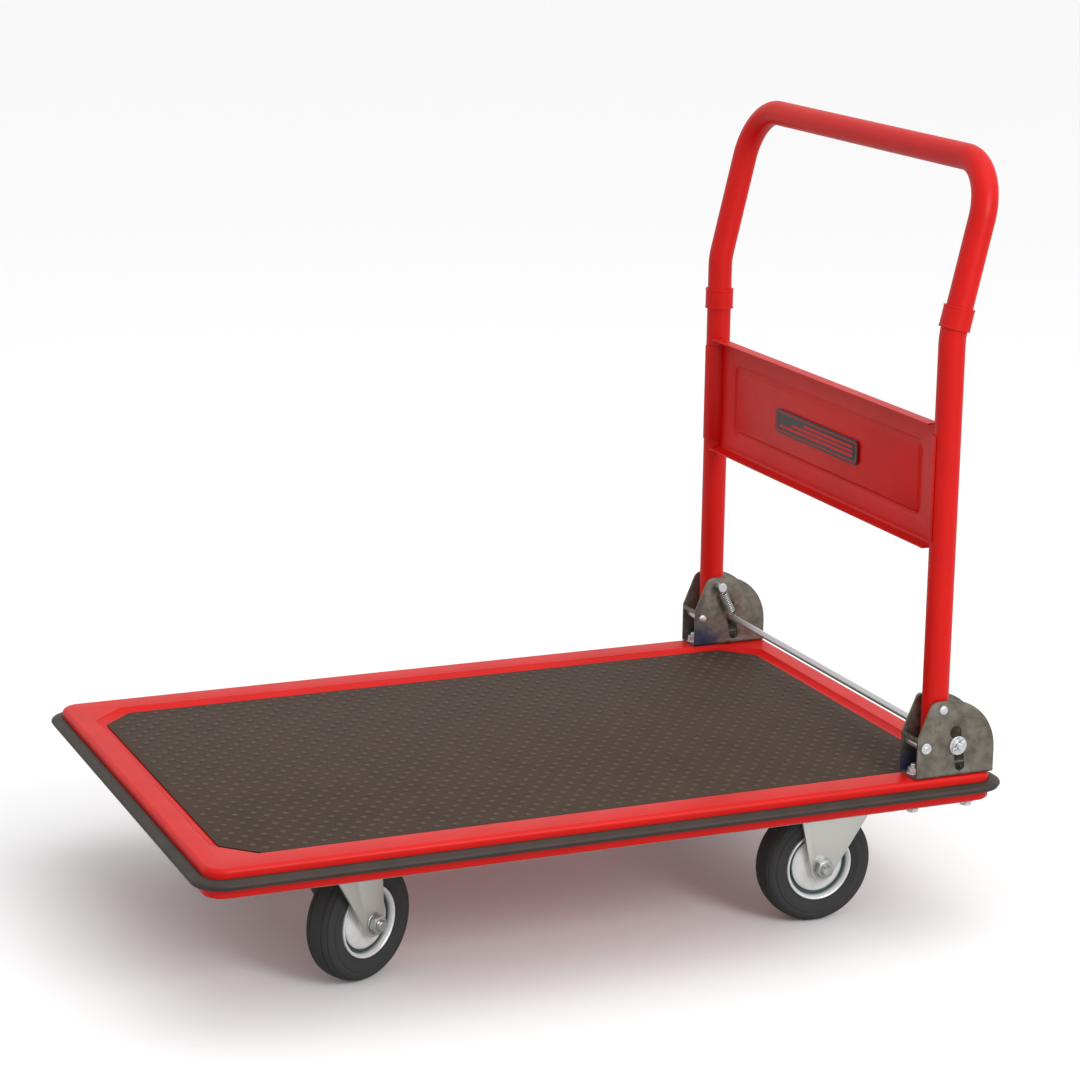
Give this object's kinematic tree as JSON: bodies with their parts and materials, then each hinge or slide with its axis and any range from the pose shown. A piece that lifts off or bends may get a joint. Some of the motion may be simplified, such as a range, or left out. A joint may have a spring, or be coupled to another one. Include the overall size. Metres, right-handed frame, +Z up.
{
  "type": "folding platform cart",
  "caption": "Flat platform cart with a rubber-topped steel deck, edge bumper, swivel front casters, fixed rear casters and a bow handle that folds flat after a cross rod is pressed.",
  "frame": {"origin": "on the floor under the middle of the deck and its bumper", "axes": "+X towards the handle, +Y across the deck to the side called right, +Z up"},
  "size_m": [0.926, 0.622, 0.8658],
  "materials": {
    "red_paint": "gloss powder coat",
    "deck_mat": "matt embossed rubber",
    "edge_bumper": "satin rubber strip",
    "panel_badge": "matt film",
    "zinc_plate": "satin zinc plate",
    "bright_zinc": "bright zinc plate",
    "caster_zinc": "pale zinc plate",
    "axle_hardware": "zinc plated hardware",
    "tyre_rubber": "matt black rubber",
    "bronze_bush": "sintered bronze"
  },
  "bodies": {
    "chassis": {"deck_pan": "red_paint", "deck_mat": "deck_mat", "edge_bumper": "edge_bumper", "crossmember_front": "zinc_plate", "crossmember_rear": "zinc_plate", "side_rail_left": "zinc_plate", "side_rail_right": "zinc_plate", "hinge_bracket_left": "zinc_plate", "hinge_bracket_right": "zinc_plate", "pivot_pin_left": "bright_zinc", "pivot_pin_right": "bright_zinc", "stop_pin_left": "bright_zinc", "stop_pin_right": "bright_zinc", "bracket_bolt_front_left": "bright_zinc", "bracket_bolt_front_right": "bright_zinc", "bracket_bolt_rear_left": "bright_zinc", "bracket_bolt_rear_right": "bright_zinc", "lock_spring_left": "zinc_plate", "lock_spring_right": "zinc_plate", "fixed_fork_left": "caster_zinc", "fixed_fork_right": "caster_zinc", "axle_bolt_rear_left": "axle_hardware", "axle_bolt_rear_right": "axle_hardware", "axle_nut_rear_left": "axle_hardware", "axle_nut_rear_right": "axle_hardware", "swivel_plate_left": "caster_zinc", "swivel_plate_right": "caster_zinc", "swivel_race_left": "bright_zinc", "swivel_race_right": "bright_zinc"},
    "handle": {"handle_tube": "red_paint", "handle_panel": "red_paint", "panel_badge": "panel_badge", "collar_left": "red_paint", "collar_right": "red_paint"},
    "release": {"release_rod": "bright_zinc", "rod_washer_left": "bright_zinc", "rod_washer_right": "bright_zinc", "split_pin_left": "bright_zinc", "split_pin_right": "bright_zinc"},
    "swivel_left": {"swivel_fork_left": "caster_zinc", "axle_bolt_front_left": "axle_hardware", "axle_nut_front_left": "axle_hardware"},
    "front_wheel_left": {"tyre_front_left": "tyre_rubber", "rim_front_left": "bright_zinc", "bush_front_left": "bronze_bush"},
    "rear_wheel_left": {"tyre_rear_left": "tyre_rubber", "rim_rear_left": "bright_zinc", "bush_rear_left": "bronze_bush"},
    "swivel_right": {"swivel_fork_right": "caster_zinc", "axle_bolt_front_right": "axle_hardware", "axle_nut_front_right": "axle_hardware"},
    "front_wheel_right": {"tyre_front_right": "tyre_rubber", "rim_front_right": "bright_zinc", "bush_front_right": "bronze_bush"},
    "rear_wheel_right": {"tyre_rear_right": "tyre_rubber", "rim_rear_right": "bright_zinc", "bush_rear_right": "bronze_bush"}
  },
  "joints": [
    {"name": "handle_fold", "type": "hinge", "parent": "chassis", "child": "handle", "pos_m": [0.38, 0, 0.2618], "axis": [0, -1, 0], "range_deg": [0, 98]},
    {"name": "release_press", "type": "slide", "parent": "chassis", "child": "release", "axis": [0.178, 0, -0.984], "range_m": [0, 0.012], "stiffness_N_per_m": 2500, "springref_m": -0.008, "deforming": ["lock_spring_left", "lock_spring_right"]},
    {"name": "swivel_turn_left", "type": "hinge", "parent": "chassis", "child": "swivel_left", "pos_m": [-0.279, -0.194, 0.1438], "axis": [0, 0, 1], "continuous": true},
    {"name": "front_roll_left", "type": "hinge", "parent": "swivel_left", "child": "front_wheel_left", "pos_m": [-0.25049, -0.17947, 0.0663], "axis": [-0.454, 0.891, 0], "continuous": true},
    {"name": "rear_roll_left", "type": "hinge", "parent": "chassis", "child": "rear_wheel_left", "pos_m": [0.282, -0.194, 0.0663], "axis": [0, 1, 0], "continuous": true},
    {"name": "swivel_turn_right", "type": "hinge", "parent": "chassis", "child": "swivel_right", "pos_m": [-0.279, 0.194, 0.1438], "axis": [0, 0, 1], "continuous": true},
    {"name": "front_roll_right", "type": "hinge", "parent": "swivel_right", "child": "front_wheel_right", "pos_m": [-0.25049, 0.20853, 0.0663], "axis": [-0.454, 0.891, 0], "continuous": true},
    {"name": "rear_roll_right", "type": "hinge", "parent": "chassis", "child": "rear_wheel_right", "pos_m": [0.282, 0.194, 0.0663], "axis": [0, 1, 0], "continuous": true}
  ]
}
